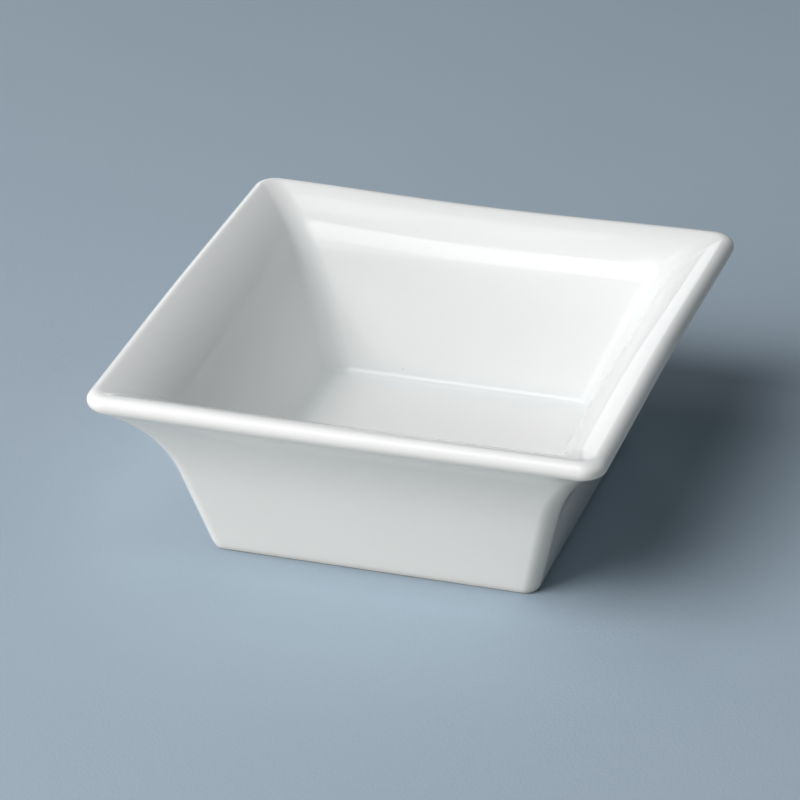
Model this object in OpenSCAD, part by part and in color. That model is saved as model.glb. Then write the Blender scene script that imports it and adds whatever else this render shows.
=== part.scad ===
// Square condiment dish in glazed porcelain: steep walls that flare into a thick rounded rim.
// Three solids: the fired body, the glaze over its inside, rim and outside, and the glaze under the base.
// Its right side faces +X, its front side faces -Y, and it stands on the plane z = 0, centred on the origin.

/* [Rim] */
// Width of the square rim across its flats, over the glaze
rim_w = 115; // [108:0.5:122]
// Height of the rim's corners above the table
dish_h = 45.2; // [43:0.2:50]
// Thickness of the rounded rim edge, over the glaze
rim_t = 4.4; // [3.8:0.2:5.2]
// Rise of the lip's top above level, in degrees
lip_rise = 18; // [12:1:22]
// Rise of the lip's underside above level where it meets the rim edge, in degrees
lip_under_rise = 38; // [33:1:40]
// Radius of the rim's corners, seen from above
rim_corner_r = 5; // [4:0.5:8]
// Radius of the corners just inside the rim edge
lip_corner_r = 3.5; // [2.5:0.5:6]
// How far the middle of the front side lies below the rim's corners
front_sag = 0.25; // [-1.5:0.05:1.5]
// How far the middle of the right side lies below the rim's corners
right_sag = -1.2; // [-1.5:0.05:1.5]
// How far the middle of the back side lies below the rim's corners
back_sag = 0.85; // [-1.5:0.05:1.5]
// How far the middle of the left side lies below the rim's corners
left_sag = -0.55; // [-1.5:0.05:1.5]

/* [Outside] */
// Width between the outer walls where their straight lines reach the table
base_w = 74.6; // [70:0.2:79]
// Radius of the flare from the outer wall into the underside of the lip
flare_r = 40; // [34:1:44]
// Radius of the outer corners at the base
base_corner_r = 3.4; // [2.6:0.2:6]

/* [Inside] */
// Level thickness of the walls at the height of the floor, over the glaze
heel_t = 8.7; // [7.6:0.1:10.2]
// Height of the glazed floor above the table
floor_h = 9.5; // [8.5:0.5:11]
// Radius of the bend from the inner wall into the top of the lip
lip_r = 21.2; // [18:0.2:24]
// Radius between the floor and the walls
floor_fillet_r = 3.5; // [2:0.5:5]
// Radius of the corners between the inner walls
well_corner_r = 5; // [4:0.5:8]
// Radius of the corners of the floor's flat
floor_corner_r = 2; // [1:0.5:4]

/* [Foot] */
// Width of the bare foot ring, with its rounded edges
foot_w = 5.6; // [4.8:0.2:7]
// Height of the hollow under the base
recess_h = 3.5; // [3.2:0.1:4.5]
// Radius between the hollow's ceiling and its sides
recess_fillet_r = 1.5; // [0.8:0.1:1.5]
// Radius of the hollow's corners
recess_corner_r = 4.2; // [3:0.2:6]
// Radius along the edges of the foot ring
foot_edge_r = 0.7; // [0.4:0.1:0.7]

/* [Glaze] */
// Thickness of the glaze
glaze_t = 0.3; // [0.2:0.05:0.4]
// Height above the table at which the glaze stops, inside and outside the foot ring
glaze_line_h = 0.9; // [0.9:0.05:1.2]

/* [Hidden] */

// Counts of segments along the pieces of a side, a corner and the profile's curves
side_steps = 6;
corner_steps = 6;
flare_steps = 7;
rim_under_steps = 4;
rim_over_steps = 6;
lip_steps = 6;
wall_steps = 3;
fillet_steps = 4;
edge_steps = 3;

// A direction in the profile plane, as half width and height
function heading(angle) = [cos(angle), sin(angle)];

// Lean from upright, in degrees, of the line that rises from a point and touches the near side of a circle
function tangent_lean(point, centre, radius) =
    atan2(centre[0] - point[0], centre[1] - point[1]) - asin(radius / norm(centre - point));

// Outside: the flare ends at the rim edge, and the wall is straight from the table to where it touches it
lip_under = heading(lip_under_rise - 90);
rim_centre = [rim_w / 2 - rim_t / 2, dish_h - rim_t / 2];
under_point = rim_centre + lip_under * rim_t / 2;
flare_centre = under_point + lip_under * flare_r;
base_point = [base_w / 2, 0];
wall_lean = tangent_lean(base_point, flare_centre, flare_r);
wall_dir = heading(90 - wall_lean);
wall_out = heading(-wall_lean);

// Inside, in the same way: the wall is straight from the floor to where it touches the bend into the lip
lip_over = heading(lip_rise + 90);
top_point = rim_centre + lip_over * rim_t / 2;
lip_centre = top_point - lip_over * lip_r;
floor_w = base_w + 2 * (floor_h * tan(wall_lean) - heel_t);
floor_point = [floor_w / 2, floor_h];
inner_lean = tangent_lean(floor_point, lip_centre, lip_r);
inner_out = heading(180 - inner_lean);
fillet_centre = floor_point + [-floor_fillet_r * tan((90 - inner_lean) / 2), floor_fillet_r];

// Foot ring: its outer edge rounds into the body's own wall, which lies under the glaze
foot_out = base_w / 2 - glaze_t / cos(wall_lean);
foot_in = base_w / 2 - foot_w;
foot_centre = [foot_out - foot_edge_r / tan((90 + wall_lean) / 2), foot_edge_r];
foot_corner_r = base_corner_r - glaze_t * cos(wall_lean);

// A station of the profile is its point, the radius of its corners in plan and the way its surface faces
function station(point, corner_r, facing) = [point[0], point[1], corner_r, facing[0], facing[1]];

// Stations along an arc; side is 1 where the surface faces away from the centre, and -1 where it faces it.
// The corner radius runs from r_from to r_to.
function arc_stations(centre, radius, from, to, steps, side, r_from, r_to) =
    [for (i = [0:steps])
        let (facing = heading(from + (to - from) * i / steps))
        station(centre + radius * facing, r_from + (r_to - r_from) * i / steps, side * facing)];

// Stations inside a straight stretch, without its ends
function line_stations(from, to, steps, facing, r_from, r_to) =
    [for (i = [1:1:steps - 1])
        station(from + (to - from) * i / steps, r_from + (r_to - r_from) * i / steps, facing)];

// An arc shares its first station with the last of the arc before it, so that one is left out
function without_first(list) = [for (i = [1:1:len(list) - 1]) list[i]];

// Corner radius of the outside at a point of the glazed wall
function outer_corner(point) =
    base_corner_r + (rim_corner_r - base_corner_r) * (point[0] - base_w / 2) / (rim_w / 2 - base_w / 2);

// The glazed surface of the dish, from the glaze line up the outside, over the rim and down to the floor
glaze_foot = base_point + wall_dir * (glaze_line_h / cos(wall_lean));
flare_foot = flare_centre - wall_out * flare_r;
lip_foot = lip_centre + inner_out * lip_r;
fillet_top = fillet_centre - inner_out * floor_fillet_r;
glazed_outside = concat(
    [station(glaze_foot, outer_corner(glaze_foot), wall_out)],
    line_stations(glaze_foot, flare_foot, wall_steps, wall_out,
        outer_corner(glaze_foot), outer_corner(flare_foot)),
    arc_stations(flare_centre, flare_r, 180 - wall_lean, 90 + lip_under_rise, flare_steps, -1,
        outer_corner(flare_foot), outer_corner(under_point)));
glazed_rim = concat(
    arc_stations(rim_centre, rim_t / 2, lip_under_rise - 90, 0, rim_under_steps, 1,
        outer_corner(under_point), rim_corner_r),
    without_first(arc_stations(rim_centre, rim_t / 2, 0, lip_rise + 90, rim_over_steps, 1,
        rim_corner_r, lip_corner_r)));
glazed_inside = concat(
    arc_stations(lip_centre, lip_r, lip_rise + 90, 180 - inner_lean, lip_steps, 1,
        lip_corner_r, well_corner_r),
    line_stations(lip_foot, fillet_top, wall_steps, inner_out, well_corner_r, well_corner_r),
    arc_stations(fillet_centre, floor_fillet_r, -inner_lean, -90, fillet_steps, -1,
        well_corner_r, floor_corner_r));

glazed = concat(glazed_outside, without_first(glazed_rim), without_first(glazed_inside));

// The same stations moved along the way their surface faces, corners with them
function moved(list, distance) =
    [for (s = list) [s[0] + distance * s[3], s[1] + distance * s[4], s[2] + distance * s[3], s[3], s[4]]];
body_under_glaze = moved(glazed, -glaze_t);

// The hollow under the base, from its ceiling to the glaze line on the foot ring's inner side
recess_centre = [foot_in - recess_fillet_r, recess_h - recess_fillet_r];
hollow = concat(
    arc_stations(recess_centre, recess_fillet_r, 90, 0, edge_steps, -1,
        recess_corner_r - recess_fillet_r, recess_corner_r),
    [station([foot_in, glaze_line_h], recess_corner_r, heading(180))]);
foot_ring = concat(
    arc_stations([foot_in + foot_edge_r, foot_edge_r], foot_edge_r, 180, 270, edge_steps, 1,
        recess_corner_r, recess_corner_r + foot_edge_r),
    arc_stations(foot_centre, foot_edge_r, -90, -wall_lean, edge_steps, 1,
        foot_corner_r - foot_edge_r * cos(wall_lean), foot_corner_r));

// How far the rim's sway reaches down: nothing at the floor, all of it at the rim
function sway_share(height) = pow(max(0, height - floor_h) / (dish_h - floor_h), 2);

// Point i of quarter q of the rounded square at a station: a side, then the corner at its end
side_sags = [front_sag, right_sag, back_sag, left_sag];
function quarter_point(s, q, i) =
    let (
        half = s[0],
        arc_c = half - s[2],
        on_side = i < side_steps,
        angle = on_side ? -90 : -90 + 90 * (i - side_steps) / corner_steps,
        x = on_side ? arc_c * (2 * i / side_steps - 1) : arc_c + s[2] * cos(angle),
        y = on_side ? -half : -arc_c + s[2] * sin(angle),
        sag = side_sags[angle < -45 ? q : (q + 1) % 4],
        along = min(abs(x), abs(y)),
        drop = sag * sway_share(s[1]) * pow(cos(90 * along / half), 2))
    [x * cos(90 * q) - y * sin(90 * q), x * sin(90 * q) + y * cos(90 * q), s[1] - drop];

quarter_count = side_steps + corner_steps;
ring_count = 4 * quarter_count;
function ring(s) = [for (q = [0:3], i = [0:quarter_count - 1]) quarter_point(s, q, i)];

// Two triangles between neighbouring points of rings k and k + 1; back bands are cut along the other
// diagonal, so that two solids that share a surface meet facet to facet
function band(k, j, back) =
    let (
        a = k * ring_count + j,
        b = k * ring_count + (j + 1) % ring_count,
        c = a + ring_count,
        d = b + ring_count)
    back ? [[a, c, b], [c, d, b]] : [[a, c, d], [a, d, b]];

// A closed solid through the rings of its stations, with flat ends that fan out from their middles
module ring_solid(stations, back_bands = []) {
    last = len(stations) - 1;
    first_middle = len(stations) * ring_count;
    last_middle = first_middle + 1;
    polyhedron(
        points = concat(
            [for (s = stations) each ring(s)],
            [[0, 0, stations[0][1]], [0, 0, stations[last][1]]]),
        faces = concat(
            [for (j = [0:ring_count - 1]) [first_middle, j, (j + 1) % ring_count]],
            [for (k = [0:last - 1], j = [0:ring_count - 1]) each band(k, j, len(search(k, back_bands)) > 0)],
            [for (j = [0:ring_count - 1])
                [last_middle, last * ring_count + (j + 1) % ring_count, last * ring_count + j]]),
        convexity = 6);
}

function reversed(list) = [for (i = [len(list) - 1:-1:0]) list[i]];

// The fired body: hollow, foot ring, wall, rim, well and floor
module porcelain_body() {
    color("ivory")
        ring_solid(concat(hollow, foot_ring, body_under_glaze));
}

// The glaze over everything above the glaze line
module glaze_coat() {
    color("whitesmoke")
        ring_solid(concat(reversed(body_under_glaze), glazed), [for (k = [0:len(glazed) - 2]) k]);
}

// The glaze in the hollow under the base
module base_glaze() {
    color("whitesmoke")
        ring_solid(concat(moved(hollow, glaze_t), reversed(hollow)),
            [for (k = [len(hollow):2 * len(hollow) - 2]) k]);
}

porcelain_body();
glaze_coat();
base_glaze();
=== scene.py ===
# Square condiment dish in glazed porcelain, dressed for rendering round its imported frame.
# Three pieces stand for the three solids: the fired body, the glaze over it and the glaze under its base.

import math

import bmesh
import bpy
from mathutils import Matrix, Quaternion, Vector, noise


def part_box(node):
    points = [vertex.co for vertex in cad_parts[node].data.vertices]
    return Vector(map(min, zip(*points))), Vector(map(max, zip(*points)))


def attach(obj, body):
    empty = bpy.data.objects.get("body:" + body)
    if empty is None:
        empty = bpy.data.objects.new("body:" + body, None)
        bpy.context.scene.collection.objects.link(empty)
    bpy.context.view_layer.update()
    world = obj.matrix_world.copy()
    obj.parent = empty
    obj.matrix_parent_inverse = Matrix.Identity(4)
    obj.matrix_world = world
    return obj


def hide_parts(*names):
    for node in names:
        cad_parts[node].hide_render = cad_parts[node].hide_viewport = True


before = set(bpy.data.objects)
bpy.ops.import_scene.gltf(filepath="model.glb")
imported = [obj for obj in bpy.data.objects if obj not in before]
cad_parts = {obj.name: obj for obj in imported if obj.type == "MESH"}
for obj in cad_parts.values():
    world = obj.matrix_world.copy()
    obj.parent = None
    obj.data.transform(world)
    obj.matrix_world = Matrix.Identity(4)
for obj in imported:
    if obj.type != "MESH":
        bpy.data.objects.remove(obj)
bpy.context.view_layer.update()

MM = 0.001

# What the frame gives: the rim's width, the glaze line, the hollow's width and the glaze's thickness
coat_low, coat_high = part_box("glaze_coat")
body_low, body_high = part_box("porcelain_body")
hollow_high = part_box("base_glaze")[1]
RIM_W = coat_high.x - coat_low.x
GLAZE_LINE_H = coat_low.z
GLAZE_T = (RIM_W - (body_high.x - body_low.x)) / 2
FOOT_IN = hollow_high.x
RECESS_H = hollow_high.z

# Rim: height at its corners, edge thickness, the rises of the lip's top and underside in degrees, and corners
DISH_H = 45.2 * MM
RIM_T = 4.4 * MM
LIP_RISE = 18
LIP_UNDER_RISE = 38
RIM_CORNER_R = 5 * MM
LIP_CORNER_R = 3.5 * MM

# How far the middle of each side of the rim lies below its corners: front, right, back and left
SIDE_SAGS = (0.25 * MM, -1.2 * MM, 0.85 * MM, -0.55 * MM)

# Outside: width at the table, the flare under the lip and the base's corners
BASE_W = 74.6 * MM
FLARE_R = 40 * MM
BASE_CORNER_R = 3.4 * MM

# Inside: wall at floor height, floor, bend into the lip, fillet and corners
HEEL_T = 8.7 * MM
FLOOR_H = 9.5 * MM
LIP_R = 21.2 * MM
FLOOR_FILLET_R = 3.5 * MM
WELL_CORNER_R = 5 * MM
FLOOR_CORNER_R = 2 * MM

# Foot ring and the hollow inside it
RECESS_FILLET_R = 1.5 * MM
RECESS_CORNER_R = 4.2 * MM
FOOT_EDGE_R = 0.7 * MM

# Steps round a ring: along each side, then round the corner at its end
SIDE_STEPS = 60
CORNER_STEPS = 20
QUARTER = SIDE_STEPS + CORNER_STEPS

# Steps of the glazed profile: wall, flare, the rim edge below and above its middle, lip, well, fillet and floor
WALL_STEPS = 16
FLARE_STEPS = 26
EDGE_UNDER_STEPS = 9
EDGE_OVER_STEPS = 14
LIP_STEPS = 32
WELL_STEPS = 10
FILLET_STEPS = 10
FLOOR_STEPS = 14

# Steps underneath, and round the rounded end of a coat of glaze
CEILING_STEPS = 10
RECESS_STEPS = 8
FOOT_EDGE_STEPS = 6
GLAZE_END_STEPS = 6

# How the rings of a flat crowd towards its middle
RING_CROWDING = 1.3

# The glaze's slow unevenness: how deep it goes, how far apart its swells lie and where it sets in
SWELL_DEPTH = 0.035 * MM
SWELL_SPAN = 16 * MM
SWELL_FADE = 5 * MM

# How far up the glaze's lower edge wanders, and the height over which the wandering dies out
LINE_RISE = 0.12 * MM
LINE_FADE = 2 * MM

# How far the gathered glaze reaches from a fillet, and the thinned glaze with its painted shade from the rim
# edge
GATHER_REACH = 2.6 * MM
THIN_AND_SHADE_REACH = 2.2 * MM

# Where round the floor's fillet the glaze is thickest, in degrees, and how much of it the well's corners hold
FILLET_POOL_ANGLE = -60
CORNER_POOL = 0.6

# The glaze's colours: its two clouds, where it pools, where it thins over the rim with painted shade darkening
# it, its iron specks and its pinhole
GLAZE_CLOUDED = (0.872, 0.878, 0.872, 1)
GLAZE_CLEAR = (0.886, 0.889, 0.882, 1)
GLAZE_POOLED = (0.835, 0.866, 0.868, 1)
# Thin glaze over the rim edge: a warmer tint, and darker than the clouds as painted shade that tones down the
# brightly lit rim band
GLAZE_THIN_AND_SHADED = (0.81, 0.803, 0.788, 1)
IRON_BROWN = (0.3, 0.22, 0.15, 1)
PINHOLE_GREY = (0.32, 0.35, 0.33, 1)

# The glaze's roughness from polished to smeared, and what thinning adds to it
POLISHED_ROUGHNESS = 0.045
SMEARED_ROUGHNESS = 0.075
THINNED_ROUGHNESS = 0.55

# Heights on the glaze in millimetres: its ripple, its pits, its pinhole and its grain of grit
RIPPLE_HEIGHT = 0.0018
PIT_HEIGHT = -0.012
PINHOLE_HEIGHT = -0.08
GRIT_HEIGHT = 0.12

# The levels on the dish between which the ripple dies out
RIPPLE_LOW = 33 * MM
RIPPLE_HIGH = 39 * MM

# Two small marks of the kiln: a pinhole under the near rim and a grain of grit under the glaze of the far rim
PINHOLE = Vector((-35.97, -50.71, 36.66)) * MM
PINHOLE_R = 0.55 * MM
GRIT = Vector((49.3, 55.6, 45.15)) * MM
GRIT_R = 0.7 * MM

# The bare body's colours: its two clouds, its dots, and the foot where tables have rubbed it
BODY_CLOUDED = (0.80, 0.785, 0.755, 1)
BODY_CLEAR = (0.85, 0.84, 0.815, 1)
BODY_DOT = (0.36, 0.27, 0.19, 1)
FOOT_RUBBED = (0.46, 0.45, 0.43, 1)

# The levels between which the rubbing fades, and the body's roughness bare and rubbed
RUBBED_HIGH = 0.45 * MM
RUBBED_LOW = 0.02 * MM
BARE_ROUGHNESS = 0.88
RUBBED_ROUGHNESS = 0.6

# Heights on the bare body in millimetres: its grain and the marks of the tool that trimmed it
GRAIN_HEIGHT = 0.012
TOOLED_HEIGHT = 0.02

# The floor: half its width, its paper in two clouds, the grey it throws on the dish, and the paper's grain
FLOOR_HALF_W = 3
PAPER_DARK = (0.386, 0.474, 0.556, 1)
PAPER_LIGHT = (0.4, 0.487, 0.568, 1)
PAPER_GLOW = (0.45, 0.475, 0.472, 1)
PAPER_GRAIN = 0.02

# The surroundings' colour, and their strength as a light and as a backdrop
BACKDROP_BLUE = (0.34, 0.41, 0.46, 1)
AS_LIGHT = 0.02
AS_BACKDROP = 1

# The camera, set so that the rim, the walls and the base fall where the photograph shows them
CAMERA_AZIMUTH = 18.637
CAMERA_ELEVATION = 28.382
CAMERA_ROLL = -1.334
CAMERA_TARGET = Vector((-0.576, -13.193, 29.87)) * MM
CAMERA_DISTANCE = 974.2 * MM
CAMERA_LENS = 200.56
SENSOR_W = 36
CLIP_END = 20

# The lights' distance and colours, and each one's azimuth, elevation, width, height, power and colour
LIGHT_DISTANCE = 1.5
WHITE_LIGHT = (1, 1, 1)
BLUE_LIGHT = (0.76, 0.9, 1)
LIGHTS = (
    ("window_high", -37, 51, 1.16, 0.5, 11.5, WHITE_LIGHT),
    ("window_low", -43, 31.5, 1, 0.5, 5, WHITE_LIGHT),
    ("low_left", -44.5, 11.5, 1.4, 0.54, 4.8, WHITE_LIGHT),
    ("table_glow", -50, 6, 1.1, 0.26, 5.2, WHITE_LIGHT),
    ("top_front", -10, 67, 0.5, 0.42, 2.8, WHITE_LIGHT),
    ("top_left", -95, 67, 0.55, 0.42, 1.5, WHITE_LIGHT),
    ("back_low", -153, 11, 0.5, 0.5, 1, WHITE_LIGHT),
    ("right_fill", 95, 32, 0.9, 0.8, 1.6, BLUE_LIGHT),
)


# A direction in the profile plane, as half width and height
def heading(degrees):
    return Vector((math.cos(math.radians(degrees)), math.sin(math.radians(degrees))))


# Lean from upright, in degrees, of the line that rises from a point and touches the near side of a circle
def tangent_lean(point, centre, radius):
    away = centre - point
    return math.degrees(math.atan2(away.x, away.y) - math.asin(radius / away.length))


# A station of the profile is its point, the radius of its corners in plan and the way its surface faces
def station(point, corner_r, facing):
    return (point, corner_r, facing)


# Stations along an arc; side is 1 where the surface faces away from the centre, and -1 where it faces it
def arc_stations(centre, radius, start, end, steps, side, r_start, r_end):
    made = []
    for i in range(steps + 1):
        share = i / steps
        facing = heading(start + (end - start) * share)
        made.append(station(centre + radius * facing, r_start + (r_end - r_start) * share, side * facing))
    return made


# Stations inside a straight stretch, without its ends
def line_stations(start, end, steps, facing, r_start, r_end):
    shares = [i / steps for i in range(1, steps)]
    return [station(start.lerp(end, s), r_start + (r_end - r_start) * s, facing) for s in shares]


# The flat of the floor, or of the hollow's ceiling, in ever smaller and rounder rings
def flat_stations(half, height, corner_r, facing, steps):
    made = []
    for i in range(1, steps):
        share = (1 - i / steps) ** RING_CROWDING
        roundness = corner_r / half + (1 - corner_r / half) * (1 - share)
        made.append(station(Vector((half * share, height)), half * share * roundness, facing))
    return made


# The same stations moved along the way their surface faces, corners with them
def moved(stations, distance):
    return [(point + distance * facing, corner_r + distance * facing.x, facing)
            for point, corner_r, facing in stations]


# Outside: the flare ends at the rim edge, and the wall is straight from the table to where it touches it
lip_under = heading(LIP_UNDER_RISE - 90)
rim_centre = Vector((RIM_W / 2 - RIM_T / 2, DISH_H - RIM_T / 2))
under_point = rim_centre + lip_under * RIM_T / 2
flare_centre = under_point + lip_under * FLARE_R
base_point = Vector((BASE_W / 2, 0))
wall_lean = tangent_lean(base_point, flare_centre, FLARE_R)
wall_out = heading(-wall_lean)
wall_up = heading(90 - wall_lean)
lean_cos = math.cos(math.radians(wall_lean))

# Inside, in the same way
lip_over = heading(LIP_RISE + 90)
top_point = rim_centre + lip_over * RIM_T / 2
lip_centre = top_point - lip_over * LIP_R
floor_half = BASE_W / 2 + FLOOR_H * math.tan(math.radians(wall_lean)) - HEEL_T
floor_point = Vector((floor_half, FLOOR_H))
inner_lean = tangent_lean(floor_point, lip_centre, LIP_R)
inner_out = heading(180 - inner_lean)
fillet_run = FLOOR_FILLET_R * math.tan(math.radians((90 - inner_lean) / 2))
fillet_centre = floor_point + Vector((-fillet_run, FLOOR_FILLET_R))
fillet_pool = fillet_centre + heading(FILLET_POOL_ANGLE) * FLOOR_FILLET_R

# Where the straight walls and the curves meet
glaze_foot = base_point + wall_up * (GLAZE_LINE_H + GLAZE_T / 2) / lean_cos
flare_foot = flare_centre - wall_out * FLARE_R
lip_foot = lip_centre + inner_out * LIP_R
fillet_top = fillet_centre - inner_out * FLOOR_FILLET_R


# Corner radius of the outside at a point of the glazed wall
def outer_corner(point):
    share = (point.x - BASE_W / 2) / (RIM_W / 2 - BASE_W / 2)
    return BASE_CORNER_R + (RIM_CORNER_R - BASE_CORNER_R) * share


# The glazed surface, from the glaze line up the outside, over the rim and down to the floor's middle
wall_corner_r = outer_corner(glaze_foot)
flare_corner_r = outer_corner(flare_foot)
under_corner_r = outer_corner(under_point)
outside = (
    [station(glaze_foot, wall_corner_r, wall_out)]
    + line_stations(glaze_foot, flare_foot, WALL_STEPS, wall_out, wall_corner_r, flare_corner_r)
    + arc_stations(flare_centre, FLARE_R, 180 - wall_lean, 90 + LIP_UNDER_RISE, FLARE_STEPS, -1,
                   flare_corner_r, under_corner_r)
)
rim_edge = (
    arc_stations(rim_centre, RIM_T / 2, LIP_UNDER_RISE - 90, 0, EDGE_UNDER_STEPS, 1,
                 under_corner_r, RIM_CORNER_R)[1:]
    + arc_stations(rim_centre, RIM_T / 2, 0, LIP_RISE + 90, EDGE_OVER_STEPS, 1,
                   RIM_CORNER_R, LIP_CORNER_R)[1:]
)
inside = (
    arc_stations(lip_centre, LIP_R, 90 + LIP_RISE, 180 - inner_lean, LIP_STEPS, 1,
                 LIP_CORNER_R, WELL_CORNER_R)[1:]
    + line_stations(lip_foot, fillet_top, WELL_STEPS, inner_out, WELL_CORNER_R, WELL_CORNER_R)
    + arc_stations(fillet_centre, FLOOR_FILLET_R, -inner_lean, -90, FILLET_STEPS, -1,
                   WELL_CORNER_R, FLOOR_CORNER_R)
)
floor_edge = inside[-1][0]
floor_flat = flat_stations(floor_edge.x, FLOOR_H, FLOOR_CORNER_R, heading(90), FLOOR_STEPS)
glazed = outside + rim_edge + inside + floor_flat
under_glaze = moved(glazed, -GLAZE_T)

# The hollow under the base, from its ceiling's middle to the foot ring
ceiling_corner_r = RECESS_CORNER_R - RECESS_FILLET_R
recess_centre = Vector((FOOT_IN - RECESS_FILLET_R, RECESS_H - RECESS_FILLET_R))
ceiling = flat_stations(recess_centre.x, RECESS_H, ceiling_corner_r, heading(-90), CEILING_STEPS)
hollow = list(reversed(ceiling)) + arc_stations(
    recess_centre, RECESS_FILLET_R, 90, 0, RECESS_STEPS, -1, ceiling_corner_r, RECESS_CORNER_R)

# The bare foot ring, rounded inside and outside
foot_out = BASE_W / 2 - GLAZE_T / lean_cos
foot_corner_r = BASE_CORNER_R - GLAZE_T * lean_cos
inner_foot_centre = Vector((FOOT_IN + FOOT_EDGE_R, FOOT_EDGE_R))
outer_foot_run = FOOT_EDGE_R / math.tan(math.radians((90 + wall_lean) / 2))
outer_foot_centre = Vector((foot_out - outer_foot_run, FOOT_EDGE_R))
foot_ring = (
    arc_stations(inner_foot_centre, FOOT_EDGE_R, 180, 270, FOOT_EDGE_STEPS, 1,
                 RECESS_CORNER_R, RECESS_CORNER_R + FOOT_EDGE_R)
    + arc_stations(outer_foot_centre, FOOT_EDGE_R, -90, -wall_lean, FOOT_EDGE_STEPS, 1,
                   foot_corner_r - FOOT_EDGE_R * lean_cos, foot_corner_r)
)


# How far the rim's sway reaches down: nothing at the floor, all of it at the rim
def sway_share(height):
    return (max(0, height - FLOOR_H) / (DISH_H - FLOOR_H)) ** 2


# The spot at one place of a ring, counted from the front side's left end and counter-clockwise
def ring_spot(point, corner_r, place):
    quarter, i = divmod(place, QUARTER)
    half = point.x
    arc_c = half - corner_r
    angle = math.radians(90 * max(0, i - SIDE_STEPS) / CORNER_STEPS)
    x = arc_c * min(1, 2 * i / SIDE_STEPS - 1) + corner_r * math.sin(angle)
    y = -arc_c - corner_r * math.cos(angle)
    sag = SIDE_SAGS[(quarter + (angle >= math.pi / 4)) % 4]
    drop = sag * sway_share(point.y) * math.cos(math.pi / 2 * min(abs(x), abs(y)) / half) ** 2
    turned = ((x, y), (-y, x), (-x, -y), (y, -x))[quarter]
    return Vector((*turned, point.y - drop))


# The same spot with the glaze's slow unevenness, which only ever goes inward
def uneven_spot(point, corner_r, facing, place):
    share = min(1, max(0, point.y - GLAZE_LINE_H) / SWELL_FADE)
    swell = 0.5 + 0.5 * noise.noise(ring_spot(point, corner_r, place) / SWELL_SPAN)
    depth = SWELL_DEPTH * swell * share
    return ring_spot(point - facing * depth, corner_r - facing.x * depth, place)


# How far the glaze's lower edge has wandered up at one place and height, in long waves with short ones on them
def line_rise(height, place):
    turn = 2 * math.pi * place / (4 * QUARTER)
    round_ring = Vector((math.cos(turn), math.sin(turn), 0))
    wander = 0.5 + 0.35 * noise.noise(round_ring * 4) + 0.15 * noise.noise(round_ring * 13)
    return LINE_RISE * wander * min(1, max(0, 1 - (height - GLAZE_LINE_H) / LINE_FADE))


# Where glaze gathers, in the floor's fillet and the well's corners, up to 1, and where it thins over the rim
# edge and gets painted shade, down to -1
def gathering(point, facing, place):
    at_fillet = (point - fillet_pool).length / GATHER_REACH
    at_rim = (point - Vector((RIM_W / 2, rim_centre.y))).length / THIN_AND_SHADE_REACH
    turn = math.pi * max(0, place % QUARTER - SIDE_STEPS) / CORNER_STEPS
    in_corner = CORNER_POOL * math.sin(turn) * max(0, -facing.x) ** 2
    return max(math.exp(-at_fillet ** 2), in_corner) - math.exp(-at_rim ** 2)


# The vertices, or the edges, among what an operator made
def only(kind, parts):
    return [part for part in parts if isinstance(part, kind)]


# A closed skin through the rings of its stations, drawn in to a point at both ends. The edge of a glaze
# wanders the way of line_way, which is nothing for the body.
def ring_skin(name, stations, line_way):
    shell = bmesh.new()
    place = shell.verts.layers.int.new("place")
    gathered = shell.verts.layers.float.new("gathered")
    ring = bmesh.ops.create_circle(shell, segments=4 * QUARTER, radius=RIM_W / 2)["verts"]
    edges = shell.edges[:]
    for i, corner in enumerate(ring):
        corner[place] = i
    rings = []
    for point, corner_r, facing in stations:
        if rings:
            grown = bmesh.ops.extrude_edge_only(shell, edges=edges)["geom"]
            ring = only(bmesh.types.BMVert, grown)
            edges = only(bmesh.types.BMEdge, grown)
        for corner in ring:
            raised = point + line_way * line_rise(point.y, corner[place])
            corner.co = uneven_spot(raised, corner_r, facing, corner[place])
            corner[gathered] = gathering(point, facing, corner[place])
        rings.append(ring)
    for ring in (rings[0], rings[-1]):
        mouth = [edge for edge in {e for v in ring for e in v.link_edges} if edge.is_boundary]
        cap = bmesh.ops.extrude_edge_only(shell, edges=mouth)["geom"]
        middle = only(bmesh.types.BMVert, cap)
        centre = sum((corner.co for corner in middle), Vector()) / len(middle)
        bmesh.ops.pointmerge(shell, verts=middle, merge_co=centre)
    bmesh.ops.recalc_face_normals(shell, faces=shell.faces)
    mesh = bpy.data.meshes.new(name)
    shell.to_mesh(mesh)
    shell.free()
    mesh.shade_smooth()
    piece = bpy.data.objects.new(name, mesh)
    bpy.context.scene.collection.objects.link(piece)
    return piece


# The rounded end of a coat of glaze, where its surface turns round to meet the body
def glaze_end(surface, toward):
    point, corner_r, facing = surface
    centre = point - facing * GLAZE_T / 2
    made = []
    for i in range(1, GLAZE_END_STEPS):
        angle = math.pi * i / GLAZE_END_STEPS
        reach = facing * math.cos(angle) + toward * math.sin(angle)
        drawn_in = (1 - math.cos(angle)) * GLAZE_T / 2
        made.append(station(centre + reach * GLAZE_T / 2, corner_r - drawn_in, reach))
    return made


# The body, and the glaze over it from its underside to its surface
coat_end = list(reversed(glaze_end(glazed[0], -wall_up)))
glaze_skin = ring_skin("glaze_skin", list(reversed(under_glaze)) + coat_end + glazed, wall_up)
fired_body = ring_skin("fired_body", hollow + foot_ring + under_glaze, Vector((0, 0)))

# The glaze in the hollow under the base
hollow_line = station(Vector((FOOT_IN, GLAZE_LINE_H + GLAZE_T / 2)), RECESS_CORNER_R, heading(180))
hollow_side = hollow + [hollow_line]
hollow_face = moved(hollow_side, GLAZE_T)
hollow_end = glaze_end(hollow_face[-1], heading(-90))
hollow_skin = ring_skin("hollow_skin", hollow_face + hollow_end + list(reversed(hollow_side)), heading(90))


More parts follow.
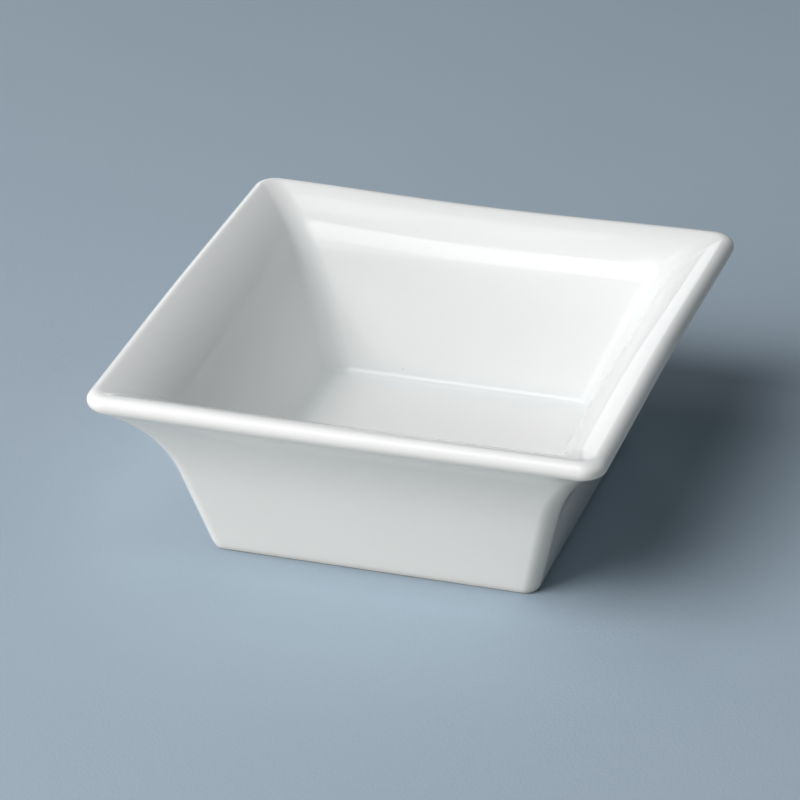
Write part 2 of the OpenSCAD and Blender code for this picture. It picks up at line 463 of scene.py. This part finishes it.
# A node in a tree, with its settings and with inputs that are values or other nodes' outputs
def add_node(tree, kind, inputs, **settings):
    node = tree.nodes.new("ShaderNode" + kind)
    for setting, value in settings.items():
        setattr(node, setting, value)
    for socket, value in inputs.items():
        if isinstance(value, bpy.types.NodeSocket):
            tree.links.new(value, node.inputs[socket])
        else:
            node.inputs[socket].default_value = value
    return node


def calculated(tree, operation, *values):
    return add_node(tree, "Math", dict(enumerate(values)), operation=operation).outputs[0]


def times(tree, value, factor):
    return calculated(tree, "MULTIPLY", value, factor)


def summed(tree, value, *others):
    for other in others:
        value = calculated(tree, "ADD", value, other)
    return value


def object_place(tree):
    return add_node(tree, "TexCoord", {}).outputs["Object"]


# Height above the table
def object_level(tree):
    return add_node(tree, "SeparateXYZ", {"Vector": object_place(tree)}).outputs["Z"]


# A value stretched from one range to another, and held inside it
def stretched(tree, value, low, high, to_low, to_high, kind="LINEAR"):
    inputs = {"Value": value, "From Min": low, "From Max": high, "To Min": to_low, "To Max": to_high}
    return add_node(tree, "MapRange", inputs, interpolation_type=kind).outputs["Result"]


def mixed(tree, share, colour, other):
    return add_node(tree, "Mix", {0: share, 6: colour, 7: other}, data_type="RGBA").outputs[2]


# A node group with its named inputs and one output, as (tree, what the inputs give, what the output takes)
def new_group(name, numbers, vectors, output):
    tree = bpy.data.node_groups.new(name, "ShaderNodeTree")
    for socket in vectors:
        tree.interface.new_socket(socket, in_out="INPUT", socket_type="NodeSocketVector")
    for socket in numbers:
        tree.interface.new_socket(socket, in_out="INPUT", socket_type="NodeSocketFloat")
    tree.interface.new_socket(output, in_out="OUTPUT", socket_type="NodeSocketFloat")
    given = tree.nodes.new("NodeGroupInput").outputs
    taken = tree.nodes.new("NodeGroupOutput").inputs[output]
    return tree, given, taken


# A group placed in a material's tree with its own values
def placed(tree, group, **values):
    inputs = {name.capitalize(): value for name, value in values.items()}
    return add_node(tree, "Group", inputs, node_tree=group).outputs[0]


# A cloudy share from 0 to 1, for slow changes of colour and gloss, and for grain where the scale is fine
def build_drift():
    tree, given, taken = new_group("drift", ("Scale", "Seed", "Detail"), (), "Share")
    cloud = add_node(tree, "TexNoise", {
        "Vector": object_place(tree),
        "W": given["Seed"],
        "Scale": given["Scale"],
        "Detail": given["Detail"],
    }, noise_dimensions="4D")
    tree.links.new(stretched(tree, cloud.outputs[0], 0.3, 0.7, 0, 1), taken)
    return tree


# Scattered specks: a few cells of the pattern, as the amount says, hold a round mark of the radius given
def build_specks():
    tree, given, taken = new_group("specks", ("Scale", "Seed", "Amount", "Radius"), (), "Mask")
    shifted = add_node(tree, "VectorMath", {0: object_place(tree), 1: given["Seed"]}, operation="ADD")
    cells = add_node(tree, "TexVoronoi", {"Vector": shifted.outputs[0], "Scale": given["Scale"]})
    lot = add_node(tree, "SeparateColor", {"Color": cells.outputs["Color"]}).outputs["Red"]
    chosen = calculated(tree, "LESS_THAN", lot, given["Amount"])
    inside_mark = stretched(tree, cells.outputs["Distance"], given["Radius"], 0, 0, 1, "SMOOTHSTEP")
    tree.links.new(times(tree, chosen, inside_mark), taken)
    return tree


# One round mark at a named place on the dish, from 1 in its middle to 0 at its edge
def build_spot():
    tree, given, taken = new_group("spot", ("Radius",), ("Centre",), "Mask")
    away = add_node(tree, "VectorMath", {0: object_place(tree), 1: given["Centre"]}, operation="DISTANCE")
    inside_mark = stretched(tree, away.outputs["Value"], given["Radius"], 0, 0, 1, "SMOOTHSTEP")
    tree.links.new(inside_mark, taken)
    return tree


drift = build_drift()
specks = build_specks()
spot = build_spot()


# A material with its node tree and its Principled shader
def new_finish(name):
    material = bpy.data.materials.new(name)
    material.use_nodes = True
    return material, material.node_tree, material.node_tree.nodes["Principled BSDF"].inputs


# A height in millimetres, as a bump on the shader
def raise_surface(tree, shader, height):
    bump = add_node(tree, "Bump", {"Strength": 1, "Distance": MM, "Height": height})
    tree.links.new(bump.outputs["Normal"], shader["Normal"])


# Clear glossy glaze on a white body: cooler where it gathers, warmer and duller where it thins over the rim,
# and darkened there as painted shade
def glaze_finish():
    material, tree, shader = new_finish("white_glaze")
    gathered = add_node(tree, "Attribute", {}, attribute_name="gathered").outputs["Fac"]
    pooled = times(tree, calculated(tree, "MAXIMUM", gathered, 0), 0.7)
    thinning_and_shade = calculated(tree, "MAXIMUM", times(tree, gathered, -0.5), 0)
    cloud = placed(tree, drift, scale=24, seed=3, detail=2)
    iron = placed(tree, specks, scale=130, seed=0.4, amount=0.1, radius=0.03)
    pinhole = placed(tree, spot, centre=PINHOLE, radius=PINHOLE_R)
    colour = mixed(tree, cloud, GLAZE_CLOUDED, GLAZE_CLEAR)
    colour = mixed(tree, pooled, colour, GLAZE_POOLED)
    # Painted shade: the thin glaze over the rim edge is darkened to tone down the bright rim band
    colour = mixed(tree, thinning_and_shade, colour, GLAZE_THIN_AND_SHADED)
    colour = mixed(tree, times(tree, iron, 0.6), colour, IRON_BROWN)
    colour = mixed(tree, times(tree, pinhole, 0.35), colour, PINHOLE_GREY)
    tree.links.new(colour, shader["Base Color"])

    smear = placed(tree, drift, scale=45, seed=9, detail=4)
    roughness = stretched(tree, smear, 0.35, 1, POLISHED_ROUGHNESS, SMEARED_ROUGHNESS)
    tree.links.new(summed(tree, roughness, times(tree, thinning_and_shade, THINNED_ROUGHNESS)), shader["Roughness"])
    shader["IOR"].default_value = 1.5
    shader["Specular IOR Level"].default_value = 0.22

    ripple = placed(tree, drift, scale=190, seed=1, detail=2)
    ripple_height = stretched(tree, object_level(tree), RIPPLE_LOW, RIPPLE_HIGH, RIPPLE_HEIGHT, 0)
    pits = placed(tree, specks, scale=90, seed=1.7, amount=0.2, radius=0.06)
    grit = placed(tree, spot, centre=GRIT, radius=GRIT_R)
    raise_surface(tree, shader, summed(
        tree,
        times(tree, ripple, ripple_height),
        times(tree, pits, PIT_HEIGHT),
        times(tree, pinhole, PINHOLE_HEIGHT),
        times(tree, grit, GRIT_HEIGHT),
    ))
    return material


# Unglazed fired porcelain: matt, fine-grained, warm white, greyed where the foot rubs on tables
def body_finish():
    material, tree, shader = new_finish("bare_porcelain")
    cloud = placed(tree, drift, scale=60, seed=5, detail=4)
    dots = placed(tree, specks, scale=700, seed=2.2, amount=0.25, radius=0.16)
    patches = placed(tree, drift, scale=170, seed=7, detail=5)
    at_table = stretched(tree, object_level(tree), RUBBED_HIGH, RUBBED_LOW, 0, 1, "SMOOTHSTEP")
    rubbed = times(tree, at_table, stretched(tree, patches, 0.3, 0.8, 0.15, 0.8))
    colour = mixed(tree, cloud, BODY_CLOUDED, BODY_CLEAR)
    colour = mixed(tree, times(tree, dots, 0.55), colour, BODY_DOT)
    tree.links.new(mixed(tree, rubbed, colour, FOOT_RUBBED), shader["Base Color"])
    tree.links.new(stretched(tree, rubbed, 0, 1, BARE_ROUGHNESS, RUBBED_ROUGHNESS), shader["Roughness"])

    grain = placed(tree, drift, scale=2600, seed=2, detail=3)
    tooled = placed(tree, drift, scale=260, seed=8, detail=2)
    height = summed(tree, times(tree, grain, GRAIN_HEIGHT), times(tree, tooled, TOOLED_HEIGHT))
    raise_surface(tree, shader, height)
    return material


white_glaze = glaze_finish()
bare_porcelain = body_finish()
for piece, node, finish, slot in (
    (glaze_skin, "glaze_coat", white_glaze, "white_glaze"),
    (fired_body, "porcelain_body", bare_porcelain, "fired_body"),
    (hollow_skin, "base_glaze", white_glaze, "white_glaze"),
):
    piece.data.materials.append(finish)
    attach(piece, "root")
    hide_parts(node)


# 1 for a ray that shows the stage as it looks, to the camera or mirrored, and 0 for one that lights the dish
def as_seen(tree):
    ray = add_node(tree, "LightPath", {}).outputs
    seen = calculated(tree, "MAXIMUM", ray["Is Camera Ray"], ray["Is Glossy Ray"])
    return calculated(tree, "MAXIMUM", seen, ray["Is Transmission Ray"])


# Matt paper for the floor: blue-grey where it is seen, and plainer in the light that it throws on the dish
def floor_finish():
    material, tree, shader = new_finish("floor_paper")
    cloud = placed(tree, drift, scale=9, seed=4, detail=3)
    paper = mixed(tree, cloud, PAPER_DARK, PAPER_LIGHT)
    tree.links.new(mixed(tree, as_seen(tree), PAPER_GLOW, paper), shader["Base Color"])
    shader["Roughness"].default_value = 0.9
    shader["Specular IOR Level"].default_value = 0.15
    grain = placed(tree, drift, scale=1500, seed=6, detail=2)
    raise_surface(tree, shader, times(tree, grain, PAPER_GRAIN))
    return material


# The floor, a sheet far wider than the view
def build_floor():
    sheet = bmesh.new()
    bmesh.ops.create_grid(sheet, x_segments=8, y_segments=8, size=FLOOR_HALF_W)
    mesh = bpy.data.meshes.new("floor")
    sheet.to_mesh(mesh)
    sheet.free()
    mesh.materials.append(floor_finish())
    floor = bpy.data.objects.new("floor", mesh)
    bpy.context.scene.collection.objects.link(floor)


# The way out from the dish at an azimuth, counted from the front towards the right, and an elevation
def way_out(azimuth, elevation):
    across = math.cos(math.radians(elevation))
    return Vector((
        math.sin(math.radians(azimuth)) * across,
        -math.cos(math.radians(azimuth)) * across,
        math.sin(math.radians(elevation)),
    ))


# A flat soft light that faces the dish, by the way it comes from, its width and height, power and colour
def soft_light(name, azimuth, elevation, width, height, power, colour):
    light = bpy.data.lights.new(name, "AREA")
    light.shape = "RECTANGLE"
    light.size = width
    light.size_y = height
    light.energy = power
    light.color = colour
    away = way_out(azimuth, elevation)
    lamp = bpy.data.objects.new(name, light)
    lamp.location = away * LIGHT_DISTANCE + Vector((0, 0, DISH_H / 2))
    lamp.rotation_mode = "QUATERNION"
    lamp.rotation_quaternion = away.to_track_quat("Z", "Y")
    bpy.context.scene.collection.objects.link(lamp)


def build_camera():
    away = way_out(CAMERA_AZIMUTH, CAMERA_ELEVATION)
    level = (-away).to_track_quat("-Z", "Y")
    camera = bpy.data.objects.new("camera", bpy.data.cameras.new("camera"))
    camera.data.lens = CAMERA_LENS
    camera.data.sensor_width = SENSOR_W
    camera.data.clip_end = CLIP_END
    camera.location = CAMERA_TARGET + away * CAMERA_DISTANCE
    camera.rotation_mode = "QUATERNION"
    camera.rotation_quaternion = level @ Quaternion((0, 0, 1), math.radians(CAMERA_ROLL))
    bpy.context.scene.collection.objects.link(camera)
    bpy.context.scene.camera = camera


# The surroundings: dim as a light, and a pale backdrop where the camera or a reflection looks past the floor
def build_world():
    world = bpy.data.worlds.new("studio")
    world.use_nodes = True
    tree = world.node_tree
    backdrop = tree.nodes["Background"].inputs
    backdrop["Color"].default_value = BACKDROP_BLUE
    tree.links.new(stretched(tree, as_seen(tree), 0, 1, AS_LIGHT, AS_BACKDROP), backdrop["Strength"])
    bpy.context.scene.world = world


build_camera()
build_floor()
build_world()
for row in LIGHTS:
    soft_light(*row)
bpy.context.scene.view_settings.view_transform = "Standard"
